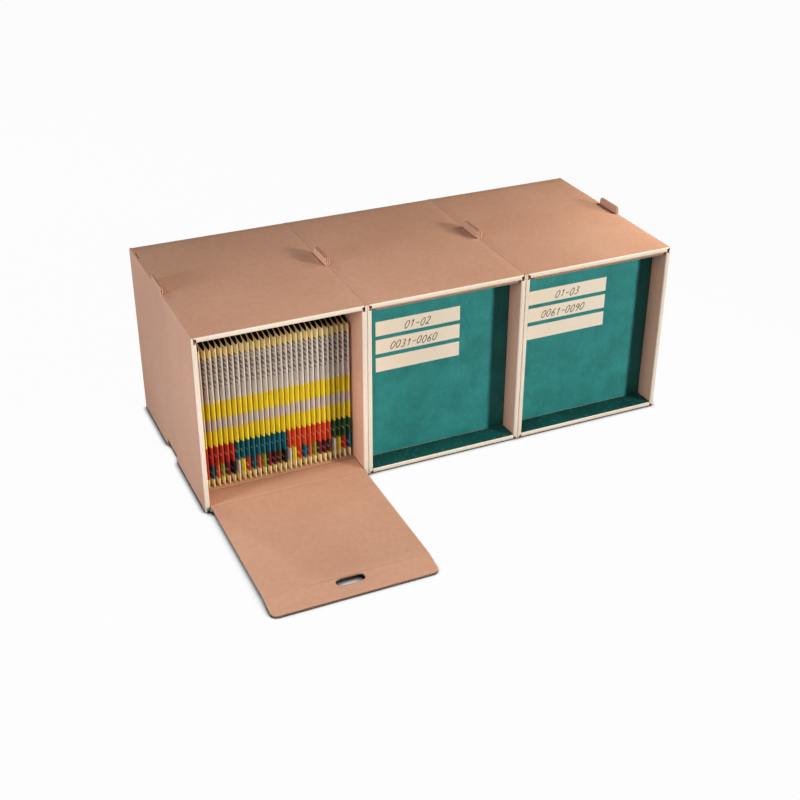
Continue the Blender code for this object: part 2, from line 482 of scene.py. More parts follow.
def tabRise(y, box):
    # Height of the stacking tab over the top at depth y, with round corners
    middle = foldLook["tabCentreShare"] * (box["rear"] - box["front"])
    half, corner = foldLook["tabLength"] / 2, foldLook["tabCorner"]
    rise = box["tabTop"] - box["height"]
    inside = half - np.abs(y - middle)
    rounded = np.clip(corner - inside, 0, corner)
    return np.where(inside > 0, rise - corner + np.sqrt(np.clip(corner ** 2 - rounded ** 2, 0, None)), 0)


def makeSide(box, isLeft):
    depth, height, pack = box["rear"] - box["front"], box["height"], box["pack"]
    radius, hair = foldLook["radius"], foldLook["hair"]
    middle = foldLook["tabCentreShare"] * depth
    half, corner = foldLook["tabLength"] / 2, foldLook["tabCorner"]
    notchHalf = half + foldLook["notchPlay"]
    notchTop = box["tabTop"] - height + foldLook["notchRise"]
    rounding = corner * (1 - np.cos(quarterTurns))
    tabPlaces = joined(half - hair - rounding, [half])
    marks = joined(middle - tabPlaces, middle + tabPlaces, bothSides(middle, notchHalf),
                   bothSides(middle, notchHalf + hair))
    wallY = np.unique(joined(line(radius, depth, 22), marks))[::-1]
    step = recess + touch
    liningMarks = joined([step, step + hair], marks[-4:])
    liningY = np.unique(joined(line(radius, box["liningRear"] - box["front"], 18), liningMarks))
    frontOuter = arcLine((radius, radius), radius, 180, 270)[1:]
    frontInner = arcLine((pack - radius, radius), radius, 270, 360)[:-1]
    inset = foldLook["stripInset"]
    strip = np.array([[inset, 0], [inset + hair, 0], [pack / 2, 0]])
    outer = joined(stacked(wallY * 0, wallY), frontOuter, strip, frontInner,
                   stacked(liningY * 0 + pack, liningY))
    innerX = joined(wallY * 0 + board, frontOuter[:, 0] * 0 + board, strip[:, 0] * 0 + board,
                    frontInner[:, 0] * 0 + pack - board, liningY * 0 + pack - board)
    inner = stacked(innerX, np.maximum(outer[:, 1], board))

    def inNotch(y):
        return np.abs(y - middle) < notchHalf + hair / 2

    wallLow = np.where(inNotch(wallY), notchTop, 0)
    wallHigh = height + tabRise(wallY, box)
    stripLow, stripHigh = foldLook["stripFoot"], height - foldLook["stripTopDrop"]
    liningLow = np.where(liningY < step, box["hinge"][2], board + touch)
    liningLow = np.where(inNotch(liningY), notchTop, liningLow)
    liningHigh = np.where(liningY < step, box["hemUnder"] - touch, box["liningTop"])
    turnShares = 1 - np.cos(quarterTurns[:-1])
    low = joined(wallLow, np.zeros(len(frontOuter) + 1), np.full(2, stripLow),
                 stripLow + (liningLow[0] - stripLow) * turnShares * 0.4, liningLow)
    high = joined(wallHigh, np.full(len(frontOuter) + 1, height), np.full(2, stripHigh),
                  stripHigh - (stripHigh - liningHigh[0] + 1 * mm) * turnShares, liningHigh)
    ease = np.full(len(outer), foldLook["cutEase"])
    easeInner = ease.copy()
    # along the wall's folded edges the board turns over: they are round and show no cut
    wallFold = joined((tabRise(wallY, box) == 0) & ~inNotch(wallY),
                      np.ones(len(frontOuter) + 1, bool))
    rims = np.full(len(outer), 2)
    rims[:len(wallFold)][wallFold] = 0
    isOuter = (box["number"] == 1 and isLeft) or (box["number"] == 3 and not isLeft)
    ease[:len(wallFold)][wallFold] = radius if isOuter else foldLook["closeRadius"]
    easeInner[:len(wallFold)][wallFold] = foldLook["innerEase"]
    origin = box["left"] if isLeft else box["right"]
    sign = 1 if isLeft else -1

    def carry(a, b, t):
        return stacked(origin + sign * a, box["front"] + b, t)

    def give(points):
        # The wall gives inwards by a product of two half sines, zero at its edges
        x, y, z = points[..., 0], points[..., 1], points[..., 2]
        share = np.clip((y - box["front"] - recess) / (depth - recess), 0, 1)
        bow = np.sin(math.pi * share) * np.sin(math.pi * np.clip(z / height, 0, 1)) ** 0.7
        ripple = 1 + 0.25 * np.sin(9 * share + 2 * box["number"]) * np.sin(7 * z / height)
        return stacked(x + sign * foldLook["sag"] * 0.6 * bow * ripple, y, z)

    # the round front fold takes the pale folded finish, a painted highlight
    def paint(centres):
        return np.where(centres[..., 1] < box["front"] + radius * 1.02, 1, 0)

    side = "left" if isLeft else "right"
    piece = foldedSheet(f"{box['name']}{side}_side", outer, inner, low, high, carry,
                        [kraftUpright, foldPaintedHighlight, cutEdge], line(0, 1, 15), ease=ease, easeInner=easeInner,
                        rims=rims, paintOuter=paint, shape=give)
    return settle(piece, "shells", "kraft", f"{box['name']}{side}_wall", f"{box['name']}{side}_lining")


# The wrap: top, back and bottom are one board, and each front edge is folded back as a hem

def makeWrap(box):
    depth, height = box["rear"] - box["front"], box["height"]
    radius, pack = foldLook["radius"], box["pack"]
    width = box["right"] - box["left"]
    hemUnder, sillTop = box["hemUnder"], box["sillTop"]
    hemBoard = board - foldLook["hemThin"]
    middle = foldLook["tabCentreShare"] * depth
    half, hair = foldLook["tabLength"] / 2 + foldLook["slitPlay"], foldLook["hair"]
    rearSlit = np.array(foldLook["rearSlit"]) * depth
    rearMarks = joined(rearSlit, rearSlit + np.array([-hair, hair]))
    topY = np.unique(joined(line(radius, depth - radius, 20), [radius + foldLook["noseStep"]],
                            bothSides(middle, half), bothSides(middle, half + hair), rearMarks))
    hemY = line(recess, radius, 4)
    parts = [
        ("hem", stacked(hemY, hemY * 0 + hemUnder)),
        ("nose", arcLine((radius, hemUnder + radius), radius, 270, 180)),
        ("nose", arcLine((radius, height - radius), radius, 180, 90)[:-1]),
        ("panel", stacked(topY, topY * 0 + height)),
        ("panel", arcLine((depth - radius, height - radius), radius, 90, 0)[1:]),
        ("panel", stacked(line(0, 0, 12) + depth, line(height - 2 * radius, 2 * radius, 12))),
        ("panel", arcLine((depth - radius, radius), radius, 0, -90)),
        ("panel", stacked(topY[::-1], topY * 0)[1:-1]),
        ("nose", arcLine((radius, radius), radius, 270, 180)),
        ("nose", arcLine((radius, sillTop - radius), radius, 180, 90)[:-1]),
        ("sill", stacked(hemY[::-1], hemY * 0 + sillTop)),
    ]
    outer = joined(*(points for kind, points in parts))
    kinds = np.repeat([kind for kind, points in parts], [len(points) for kind, points in parts])
    y, z = outer[:, 0], outer[:, 1]
    upper = z > height / 2
    inHem = (kinds == "hem") | ((kinds == "nose") & upper & (z < (hemUnder + height) / 2))
    inSill = (kinds == "sill") | ((kinds == "nose") & ~upper & (z > sillTop / 2))
    innerZ = np.clip(z, board, height - board)
    innerZ = np.where(inHem, hemUnder + hemBoard, np.where(inSill, sillTop - hemBoard, innerZ))
    inner = stacked(np.clip(y, board, depth - board), innerZ)
    low = np.full(len(outer), board)
    low[kinds == "hem"] = board + touch
    low[kinds == "sill"] = pack + touch
    low[kinds == "nose"] = pack + touch / 2
    low[(kinds == "nose") & (z > height - 0.9 * radius)] = board + touch / 2
    isTop = (kinds == "panel") & (z == height)
    low[isTop & (y < radius + foldLook["noseStep"] / 2)] = board + touch / 2
    high = width - low
    inSlit = isTop & (np.abs(y - middle) < half + hair / 2)
    low[inSlit] = board + foldLook["slit"]
    high[inSlit] = width - board - foldLook["slit"]
    if box["number"] == 1:
        inRear = isTop & (y > rearSlit[0] - hair / 2) & (y < rearSlit[1] + hair / 2)
        low[inRear] = board + 0.8 * foldLook["slit"]
    showsEdge = np.isin(kinds, ("hem", "sill", "nose")) | inSlit
    ease = np.where(showsEdge, foldLook["cutEase"] * 0.8, foldLook["tightEase"])

    def carry(a, b, t):
        return stacked(box["left"] + t, box["front"] + a, b)

    def give(points):
        # Top, back and bottom give inwards between the walls; the hems stay straight
        x, y, z = points[..., 0] - box["left"], points[..., 1] - box["front"], points[..., 2]
        across = np.sin(math.pi * np.clip((x - pack) / (width - 2 * pack), 0, 1)) ** 0.8
        along = np.sin(math.pi * np.clip((y - recess) / (depth - recess), 0, 1)) ** 0.8
        drop = foldLook["sag"] * across * along * np.where(z > height - 2 * board, -1, 0)
        rise = np.sin(math.pi * np.clip(z / height, 0, 1)) ** 0.8
        push = foldLook["sag"] * across * rise * np.where(y > depth - 2 * board, -1, 0)
        return stacked(points[..., 0], points[..., 1] + push, z + drop)

    # the round front noses take the pale folded finish, a painted highlight
    def paint(centres):
        y, z = centres[..., 1] - box["front"], centres[..., 2]
        # the sill takes the darker sill print, painted shade
        isSill = (z > sillTop - radius * 0.3) & (z < height / 2) & (y < recess) & (y > radius * 0.5)
        return np.where(isSill, 2, np.where(y < radius * 1.02, 1, 0))

    # the bottom's edge behind the notches is painted dark brown, painted shade
    rims = np.where((kinds == "panel") & (z < board) & (np.abs(y - middle) < half + hair / 2), 3, 4)
    piece = foldedSheet(box["name"] + "wrap", outer, inner, low, high, carry,
                        [kraftLevel, foldPaintedHighlight, sillPrint, shadedEdge, cutEdge], line(0, 1, 19), ease=ease,
                        rims=rims, paintOuter=paint, shape=give)
    return settle(piece, "shells", "kraft", box["name"] + "base", box["name"] + "top", box["name"] + "back")


def makeFloorLiner(box):
    # Two flanges of the linings meet on the middle line of the floor
    low, high = box["linerLow"], box["linerHigh"]
    middle = box["front"] + foldLook["tabCentreShare"] * (box["rear"] - box["front"])
    half, hair = foldLook["tabLength"] / 2 + foldLook["slitPlay"], foldLook["hair"]
    places = np.unique(joined(line(low[1], high[1], 8), bothSides(middle, half),
                              bothSides(middle, half + hair)))
    outer = stacked(places, places * 0 + high[2])
    inner = stacked(places, places * 0 + low[2] + board)
    # the flanges' edges behind the notches take the dark edge finish, painted shade
    rims = np.where(np.abs(places - middle) < half + hair / 2, 1, 2)

    def carry(a, b, t):
        return stacked(t, a, b)

    def seam(points):
        # A shallow groove where the two flanges meet, shaped like a bell
        x = points[..., 0] - (low[0] + high[0]) / 2
        depth = foldLook["seamDepth"] * np.exp(-(x / foldLook["seamReach"]) ** 2)
        return stacked(points[..., 0], points[..., 1], points[..., 2] - depth)

    shares = np.unique(joined(line(0, 1, 9), 0.5 + line(-3, 3, 9) * mm / (high[0] - low[0])))
    piece = foldedSheet(box["name"] + "floor_flanges", outer, inner, places * 0 + low[0],
                        places * 0 + high[0], carry, [kraftInside, shadedEdge, kraftInside], shares,
                        shape=seam, rims=rims)
    return settle(piece, "shells", "kraft", box["name"] + "floor_liner")


# The door and its tuck lip, and the creases that join them

doorLook = {
    "labelLeft": 28.8 * mm,       # from the box's left face
    "labelWidth": 144.5 * mm,
    "labelTops": (245.6, 214.6, 183.2),   # over the ground, in mm
    "labelHeight": 24.6 * mm,
    "frontLine": 39 * mm,         # where the open door bends over the front edge, from its hinge
    "dent": 0.35 * mm,            # depth of the pressed line there
    "dentReach": 2.2 * mm,
    "slotWidth": 44 * mm,
    "slotHeight": 13.5 * mm,
    "slotFromCrease": 1.5 * mm,
    "lipCorner": 9 * mm,
    "slotShares": (0.16, 1.25, 1.2),   # spread the slot's points over its straights and round ends
}


def doorCarry(box):
    # Places on the door: s up its face from the hinge, n through it from the green side, t across
    hinge = box["hinge"]
    if box["isOpen"]:
        return lambda s, n, t: stacked(t, hinge[1] - s, hinge[2] + n)
    return lambda s, n, t: stacked(t, hinge[1] + n, hinge[2] + s)


def lipCarry(box):
    # Places on the lip: s from its crease, n through it from the green side, t across
    crease = box["crease"]
    if not box["isOpen"]:
        return lambda s, n, t: stacked(t, crease[1] - s, crease[2] + n)
    cos, sin = math.cos(lipRest), math.sin(lipRest)
    return lambda s, n, t: stacked(t, crease[1] - s * cos - n * sin, crease[2] - s * sin + n * cos)


def makeDoor(box):
    low, high = corners(box["name"] + "door")
    ends = touch / 2
    labelLow = box["left"] + doorLook["labelLeft"]
    labelHigh = labelLow + doorLook["labelWidth"]
    tops = np.array(doorLook["labelTops"]) * mm - box["hinge"][2]
    bottoms = tops - doorLook["labelHeight"]
    bend = doorLook["frontLine"]
    stations = np.unique(joined(line(ends, doorLength - ends, 16), tops, bottoms,
                                bend + line(-6, 6, 13) * mm))
    outer = stacked(stations, stations * 0)
    inner = stacked(stations, stations * 0 + board)
    ease = foldLook["cutEase"]
    reach = high[0] - low[0] - 2 * ease
    labelShares = (np.array([labelLow, labelHigh]) - low[0] - ease) / reach
    shares = np.unique(joined(line(0, 1, 13), labelShares))
    place = doorCarry(box)

    def bent(s, n, t):
        # A soft pressed line across the door's inner side, shaped like a bell
        dent = doorLook["dent"] * np.exp(-((s - bend) / doorLook["dentReach"]) ** 2) * (n > board / 2)
        return place(s, n - dent, t)

    fields = []
    for top, bottom in zip(tops, bottoms):
        fields.append(place(np.array([bottom, top]), np.zeros(2), np.array([labelLow, labelHigh])))

    def paint(centres):
        inField = np.zeros(centres.shape[:2], bool)
        for field in fields:
            edges = np.sort(field, axis=0)
            axis = 1 if box["isOpen"] else 2
            inX = (centres[..., 0] > edges[0, 0]) & (centres[..., 0] < edges[1, 0])
            inField |= inX & (centres[..., axis] > edges[0, axis]) & (centres[..., axis] < edges[1, axis])
        return np.where(inField, 1, 0)

    piece = foldedSheet(box["name"] + "door_panel", outer, inner, stations * 0 + low[0],
                        stations * 0 + high[0], bent, [greenPrint, labelField, kraftLevel, cutEdge], shares,
                        paintOuter=paint, paintInner=2)
    return settle(piece, f"door_{box['number']}", "green_print", box["name"] + "door")


def makeLip(box):
    # The lip is a ring: each point of the slot's outline is joined to a point of the lip's own outline.
    low, high = corners(box["name"] + "lip")
    middle, half = (low[0] + high[0]) / 2, (high[0] - low[0]) / 2
    reach = corners("box_2_lip")[1][1] - corners("box_2_lip")[0][1] + touch / 2
    corner, radius = doorLook["lipCorner"], doorLook["slotHeight"] / 2
    slotMiddle = doorLook["slotFromCrease"] + radius
    slotReach = doorLook["slotWidth"] / 2 - radius
    fixed = touch / 2
    # outer outline: straight edges, with the two free corners rounded
    top = stacked(line(half - corner, corner - half, 30), np.full(30, reach))
    leftCorner = arcLine((corner - half, reach - corner), corner, 90, 180)[1:]
    rightCorner = arcLine((half - corner, reach - corner), corner, 0, 90)[:-1]
    leftSide = stacked(np.full(5, -half), line(reach - corner, fixed, 6)[1:])
    bottom = stacked(line(-half, half, 32)[1:], np.full(31, fixed))
    rightSide = stacked(np.full(5, half), line(fixed, reach - corner, 6)[1:])
    outline = joined(rightCorner, top, leftCorner, leftSide, bottom, rightSide[:-1])
    # slot outline: straight above and below with half circles at its ends, each point on the same side
    # of the slot's middle as its partner
    narrow, spread, steep = doorLook["slotShares"]
    seen = np.arctan2(outline[:, 1] - slotMiddle, outline[:, 0] * narrow)
    alongX = np.clip(np.cos(seen) * doorLook["slotWidth"] / 2 * spread, -slotReach, slotReach)
    lift = np.arctan2(np.sin(seen), np.cos(seen) * steep)
    ends = np.abs(alongX) >= slotReach
    slotX = alongX + np.where(ends, radius * np.cos(lift), 0)
    slotS = slotMiddle + np.where(ends, radius * np.sin(lift), radius * np.sign(np.sin(seen)))
    slot = stacked(slotX, slotS)
    ease = foldLook["cutEase"]
    toSlot = unit(slot - np.array([0, slotMiddle]))
    inwards = unit(np.array([[0, reach / 2]]) - outline)
    first, last = slot + toSlot * ease, outline + inwards * ease
    flats = [(first + (last - first) * share, 0) for share in line(0, 1, 5)]
    rounds = list(zip(ease * (1 - np.cos(cornerTurns)), ease * (1 - np.sin(cornerTurns))))
    innerRings = [(slot + toSlot * lead, sink) for lead, sink in rounds]
    outerRings = [(outline + inwards * lead, sink) for lead, sink in rounds][::-1]
    place = lipCarry(box)
    skins = []
    for base, sign in ((0, 1), (board, -1)):
        rows = [place(flat[:, 1], flat[:, 1] * 0 + base + sign * sink, middle + flat[:, 0])
                for flat, sink in innerRings + flats + outerRings]
        grid = np.stack(rows)
        skins.append(np.concatenate([grid, grid[:, :1]], 1))
    green, kraft = skins
    sides = np.diff(joined(outline, outline[:1]), axis=0)
    along = joined([0], np.cumsum(np.linalg.norm(sides, axis=1)))
    edgePlan = np.stack([stacked(along, along * 0), stacked(along, along * 0 + 1)])
    grids = [(green, blankMap(green), 0), (kraft, blankMap(kraft), 1)]
    for row in (0, -1):
        grids.append((np.stack([green[row], kraft[row]]), edgePlan, 2))
    piece = meshOf(box["name"] + "tuck_lip", grids, [greenPrint, kraftLevel, cutEdge])
    return settle(piece, f"lip_{box['number']}", "green_print", box["name"] + "lip")


def makeCrease(box, name, centre, start, end):
    # A fold between two panels: both skins are arcs round the joint's axis, the green one almost on it.
    low, high = corners(box["name"] + "door")
    turns = np.radians(line(start, end, 13))
    ring = stacked(np.cos(turns), np.sin(turns))
    outer, inner = centre[1:] + ring * board, centre[1:] + ring * foldLook["creaseCore"]

    def carry(a, b, t):
        return stacked(t, a, b)

    piece = foldedSheet(box["name"] + name, outer, inner, turns * 0 + low[0], turns * 0 + high[0], carry,
                        [kraftLevel, greenPrint, cutEdge], line(0, 1, 5), endEase=0.02 * mm, paintInner=1)
    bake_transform(piece)
    return piece


def makeFront(box):
    makeDoor(box)
    makeLip(box)
    # each crease: the angles in degrees where its arc starts and ends
    if box["isOpen"]:
        makeCrease(box, "sill_crease", box["hinge"], -90, 90)
        makeCrease(box, "lip_crease", box["crease"], 90, 90 + math.degrees(lipRest))
    else:
        makeCrease(box, "sill_crease", box["hinge"], -90, 0)
        makeCrease(box, "lip_crease", box["crease"], 0, 90)


for box in boxes:
    makeSide(box, True)
    makeSide(box, False)
    makeWrap(box)
    makeFloorLiner(box)
    makeFront(box)
    print("box", box["number"], "folded")


# Written numbers: each stroke is a smooth line with a flat round bead of ink carried along it

strokes = {
    "0": [[(0.55, 1), (0.15, 0.8), (0.05, 0.35), (0.35, 0), (0.75, 0.15), (0.92, 0.6), (0.7, 0.95),
           (0.5, 1)]],
    "1": [[(0.2, 0.72), (0.4, 0.86), (0.58, 1)], [(0.58, 1), (0.55, 0.5), (0.5, 0)]],
    "2": [[(0.1, 0.78), (0.4, 1), (0.85, 0.82), (0.6, 0.42), (0.05, 0)],
          [(0.05, 0), (0.5, 0.04), (0.95, 0.02)]],
    "3": [[(0.12, 0.9), (0.55, 1), (0.82, 0.76), (0.4, 0.54)],
          [(0.4, 0.54), (0.88, 0.34), (0.55, 0), (0.05, 0.1)]],
    "4": [[(0.6, 1), (0.35, 0.66), (0.05, 0.34)], [(0.05, 0.34), (0.5, 0.35), (0.95, 0.34)],
          [(0.7, 0.66), (0.66, 0.3), (0.62, 0)]],
    "5": [[(0.28, 1), (0.6, 0.99), (0.92, 1)], [(0.28, 1), (0.22, 0.8), (0.16, 0.56)],
          [(0.16, 0.56), (0.6, 0.62), (0.88, 0.32), (0.5, 0), (0.05, 0.1)]],
    "6": [[(0.8, 1), (0.35, 0.72), (0.08, 0.28), (0.45, 0), (0.88, 0.24), (0.55, 0.52), (0.12, 0.32)]],
    "7": [[(0.05, 1), (0.5, 0.98), (0.95, 1)], [(0.95, 1), (0.55, 0.5), (0.35, 0)]],
    "8": [[(0.5, 0.54), (0.14, 0.76), (0.5, 1), (0.86, 0.78), (0.5, 0.54), (0.08, 0.25), (0.5, 0),
           (0.92, 0.26), (0.5, 0.54)]],
    "9": [[(0.86, 0.76), (0.5, 1), (0.1, 0.74), (0.5, 0.5), (0.86, 0.76), (0.78, 0.35), (0.4, 0)]],
    "-": [[(0.1, 0.45), (0.5, 0.48), (0.9, 0.5)]],
}


def smoothLine(points, count=6):
    # Catmull-Rom curve: each span is a cubic of its four nearest points
    points = np.array(points, float)
    padded = joined(2 * points[:1] - points[1:2], points, 2 * points[-1:] - points[-2:-1])
    a, b, c, d = padded[:-3], padded[1:-2], padded[2:-1], padded[3:]
    t = np.linspace(0, 1, count, endpoint=False)[None, :, None]
    a, b, c, d = a[:, None], b[:, None], c[:, None], d[:, None]
    squared, cubed = 2 * a - 5 * b + 4 * c - d, 3 * b - a - 3 * c + d
    spans = 0.5 * (2 * b + (c - a) * t + squared * t ** 2 + cubed * t ** 3)
    return joined(spans.reshape(-1, 2), points[-1:])


def strokeGrids(text, look):
    # Flat beads for a row of digits, as (along, up, out) places starting at the row's left foot
    beads = []
    for index, letter in enumerate(text):
        for points in strokes.get(letter, []):
            curve = smoothLine(points) * np.array([0.56, 1]) * look["height"]
            curve[:, 0] += curve[:, 1] * look["slant"] + index * look["advance"]
            curve[:, 1] += look["wave"] * math.sin(1.7 * index)
            tangent = unit(np.gradient(curve, axis=0))
            normal = stacked(-tangent[:, 1], tangent[:, 0])
            turns = np.radians([0, 60, 120, 180, 270, 360])
            ends = np.clip(np.minimum(np.arange(len(curve)), np.arange(len(curve))[::-1]) + 0.35, 0, 1)
            side = np.cos(turns)[None, :, None] * normal[:, None, :] * (look["pen"] / 2 * ends)[:, None, None]
            up = np.clip(np.sin(turns), -0.6, 1)[None, :] * ends[:, None]
            beads.append(np.concatenate([curve[:, None, :] + side, up[..., None]], -1))
    return beads


def writeNumber(name, text, look, place, body, finish, slot):
    # place(along, up, out) puts the flat beads on the surface that carries them
    grids, caps = [], []
    for bead in strokeGrids(text, look):
        points = place(bead[..., 0], bead[..., 1], bead[..., 2] * look["relief"])
        grids.append((points, blankMap(points), 0))
        caps += [points[0, :-1], points[-1, :-1]]
    piece = meshOf(name, grids, [finish], caps=caps, smoothAngle=60)
    return settle(piece, body, slot)


labelHand = {
    "height": 12.4 * mm,
    "advance": 9.0 * mm,
    "slant": 0.34,
    "pen": 1.3 * mm,
    "wave": 0.6 * mm,
    "relief": 0.08 * mm,
    "texts": {1: ("01-01", "0001-0030"), 2: ("01-02", "0031-0060"), 3: ("01-03", "0061-0090")},
    "starts": (48 * mm, 24 * mm),     # from the field's left edge
    "foot": 4.5 * mm,                 # over the field's lower edge
}

for box in boxes:
    put = doorCarry(box)
    fieldFoot = labelHand["foot"] - doorLook["labelHeight"] - box["hinge"][2]
    for row, text in enumerate(labelHand["texts"][box["number"]]):
        left = box["left"] + doorLook["labelLeft"] + labelHand["starts"][row]
        foot = doorLook["labelTops"][row] * mm + fieldFoot
        writeNumber(f"{box['name']}label_{row + 1}", text, labelHand,
                    lambda along, up, out, foot=foot, left=left: put(foot + up, -out, left + along),
                    f"door_{box['number']}", penInk, "green_print")
print("labels written")


# The card files: folded cards with a rounded front, a pinched foot and coloured index bands

fileLook = {
    "manila": toned("F4E6B6"),
    "manilaShade": toned("E8D090"),
    "noseDepth": 1.8 * mm,
    "corner": 3.2 * mm,
    "foot": 10 * mm,
    "footShare": 0.42,
    "nose": 0.40,               # thickness of the front fold, as a share of the pitch
    "body": 0.97,
    "bodyReach": 11 * mm,       # how far back the body's thickness is reached
    "bandReach": 26 * mm,       # how far the bands run back along the flanks
    "bands": (0.064, 0.163, 0.297, 0.412, 0.490, 0.610, 0.925),
    "topDrop": 0.3 * mm,        # the upper edges stay a little under the solid's
    "climb": 5.5 * mm,          # the upper edge rises this much from the front corner
    "climbReach": 26 * mm,
    "card": 0.45 * mm,          # thickness of the card round the open pocket
    "pocket": 22 * mm,
    "lean": 0.4 * mm,
    "stagger": 1.2 * mm,
}
indexTones = {
    "white": "DDD4C9", "yellow": "EFD938", "red": "C4412B", "teal": "1E6D7C", "coral": "E2674A",
    "lime": "8FA83A", "maroon": "7A2438", "wine": "581C28", "brown": "6E4526", "black": "1E1C1C",
    "green": "2E5B33", "orange": "DD5A35", "grey": "D8CAC0",
}
cards = {key: cardFinish("card_" + key, toned(code), tuple(0.86 * v for v in toned(code)[:3]) + (1,))
         for key, code in indexTones.items()}
manila = cardFinish("manilaCard", fileLook["manila"], fileLook["manilaShade"], 0.55)
# dark brown inside of the file pockets: painted shade
pocketCard = cardFinish("pocketCard", toned("5A3424"), toned("43261B"), 0.8)
unitOrder = ("white", "yellow", "red", "teal", "coral", "lime", "maroon", "wine", "brown", "black")


def fileHalf(height, back, half):
    # Half thickness at a height and a distance behind the front fold: a thin nose that widens backwards
    # in a smooth step, pinched together at the foot.
    look = fileLook
    share = np.clip(back / look["bodyReach"], 0, 1)
    width = look["nose"] + (look["body"] - look["nose"]) * (1.5 * share - 0.5 * share ** 3)
    opened = np.clip(height / look["foot"], 0, 1) ** 0.8
    return half * width * (look["footShare"] + (1 - look["footShare"]) * opened)


def fileFront(height, top):
    # How far the front stands back at a height: a round corner above
    corner = fileLook["corner"]
    over = np.clip(height - (top - corner), 0, corner)
    return corner - np.sqrt(corner ** 2 - over ** 2)


def fileSkin(turn, height, low, high, lean):
    # Surface of a card file's front and flanks. turn runs from -1 at the left flank's rear to 1 at the
    # right one's: the middle half is the round fold, an ellipse, and the rest the flanks.
    top = high[2] - low[2]
    middle = (low[0] + high[0]) / 2 + lean * (height / top - 0.5)
    start = low[1] + fileFront(height, top)
    angle = np.clip(turn * 2, -1, 1) * math.pi / 2
    back = np.clip(np.abs(turn) * 2 - 1, 0, 1) ** 2 * (high[1] - start - fileLook["noseDepth"])
    x = middle + fileHalf(height, back, (high[0] - low[0]) / 2) * np.sin(angle)
    y = start + fileLook["noseDepth"] * (1 - np.cos(angle)) + back
    ahead = 1 - np.clip(back / fileLook["climbReach"], 0, 1)
    drop = fileLook["climb"] * np.clip(height / top * 8 - 7, 0, 1) * ahead ** 1.5
    return stacked(x, y, low[2] + height - drop)


def bandTones(number):
    # The lowest band counts the units in ten tones, and the one over it the tens
    if number < 8:
        return ("yellow", "red", "teal", "coral", "lime", "maroon", "black")[number - 1], "red"
    if number < 18:
        return unitOrder[number - 8], "teal"
    return (unitOrder[number - 18], "orange") if number < 27 else (unitOrder[number - 27], "green")


def makeFile(number, shift, lean):
    low, high = corners(f"file_{number:02d}")
    low[1] += shift
    high[2] -= fileLook["topDrop"]
    top = high[2] - low[2]
    bands = np.array(fileLook["bands"]) * top
    corner = top - fileLook["corner"] * (1 - np.sin(line(0, 1, 6) * math.pi / 2))
    heights = joined(line(0, fileLook["foot"], 5), bands, line(0.2, 0.9, 6) * top, corner)
    heights = np.unique(np.round(heights, 6))
    flank = 0.5 + 0.5 * line(0, 1, 16)
    turns = joined(-flank[::-1], line(-0.5, 0.5, 11)[1:-1], flank)
    grid = fileSkin(turns[None, :], heights[:, None], low, high, lean)
    # The file is open above: its upper edge turns over by the card's thickness and goes down inside.
    card, middle = fileLook["card"], (low[0] + high[0]) / 2 + lean / 2
    rim = grid[-1].copy()
    aside = rim[:, 0] - middle
    rim[:, 0] = middle + np.sign(aside) * np.clip(np.abs(aside) - card, 0.02 * mm, None)
    rim[:, 1] = np.clip(rim[:, 1] + card, None, high[1] - card)
    bottom = rim - np.array([0, 0, fileLook["pocket"]])
    unitTone, tone = bandTones(number)
    shown = [cards[key] for key in (unitTone, tone, "yellow", "grey", "white")]
    order = np.array([0, 1, 2, 3, 4, 3, 5, 0])   # finishes from the foot to the top
    mid = ((heights[1:] + heights[:-1]) / 2)[:, None]
    depth = (grid[1:, 1:, 1] + grid[:-1, :-1, 1]) / 2 - low[1]
    paint = np.where(depth < fileLook["bandReach"], order[np.searchsorted(bands, mid)], 0)
    # the pocket's inner wall takes the dark pocket finish, painted shade
    inside = np.stack([grid[-1], rim, bottom])
    caps = [grid[0], joined(grid[:, 0], grid[::-1, -1]), bottom,
            np.stack([grid[-1, 0], grid[-1, -1], rim[-1], rim[0]]),
            np.stack([rim[0], rim[-1], bottom[-1], bottom[0]])]
    grids = [(grid, blankMap(grid), paint), (inside, blankMap(inside), np.array([[0], [6]]))]
    finishes = [manila, *shown, pocketCard]
    piece = meshOf(f"card_file_{number:02d}", grids, finishes, caps=caps, smoothAngle=50)
    settle(piece, "files", "file_card", f"file_{number:02d}")
    return low, high


fileHand = {
    "height": 5.6 * mm,
    "advance": 8.3 * mm,
    "slant": 0.1,
    "pen": 1.5 * mm,
    "wave": 0.0,
    "relief": 0.06 * mm,
    "start": 0.705,      # share of the file's height where the number begins
    "behind": 0.6 * mm,  # how far behind the fold the foot of the digits is
}
indexHand = {**fileHand, "advance": 0.118 * 0.24, "height": 6.0 * mm, "pen": 1.3 * mm, "start": 0.098}
printInk = cardFinish("printInk", toned("2A211C"), toned("1C1512"), 0.5)
paleInk = cardFinish("paleInk", toned("E9DDCB"), toned("DCCDB8"), 0.5)
random = np.random.default_rng(11)
for number in range(1, 31):
    shift = fileLook["stagger"] * random.uniform(0, 1)
    lean = fileLook["lean"] * random.uniform(-1, 1)
    low, high = makeFile(number, shift, lean)

    def onFlank(along, up, out, look, low=low, high=high, lean=lean):
        # the number stands on its side on the left flank: it reads upwards, and its head points back
        height = look["start"] * (high[2] - low[2]) + along
        length = high[1] - low[1] - fileLook["noseDepth"]
        turn = -0.5 - 0.5 * np.sqrt(np.clip(up + look["behind"], 0, None) / length)
        skin = fileSkin(turn, height, low, high, lean)
        return skin + np.array([-0.97, -0.24, 0]) * (out + 0.03 * mm)[..., None]

    writeNumber(f"file_number_{number:02d}", f"101{number:04d}", fileHand,
                lambda *place: onFlank(*place, fileHand), "files", printInk, "file_card")
    writeNumber(f"file_index_{number:02d}", f"{number % 10}{number // 10}", indexHand,
                lambda *place: onFlank(*place, indexHand), "files", paleInk, "file_card")
print("card files made")


# Floor, light and camera

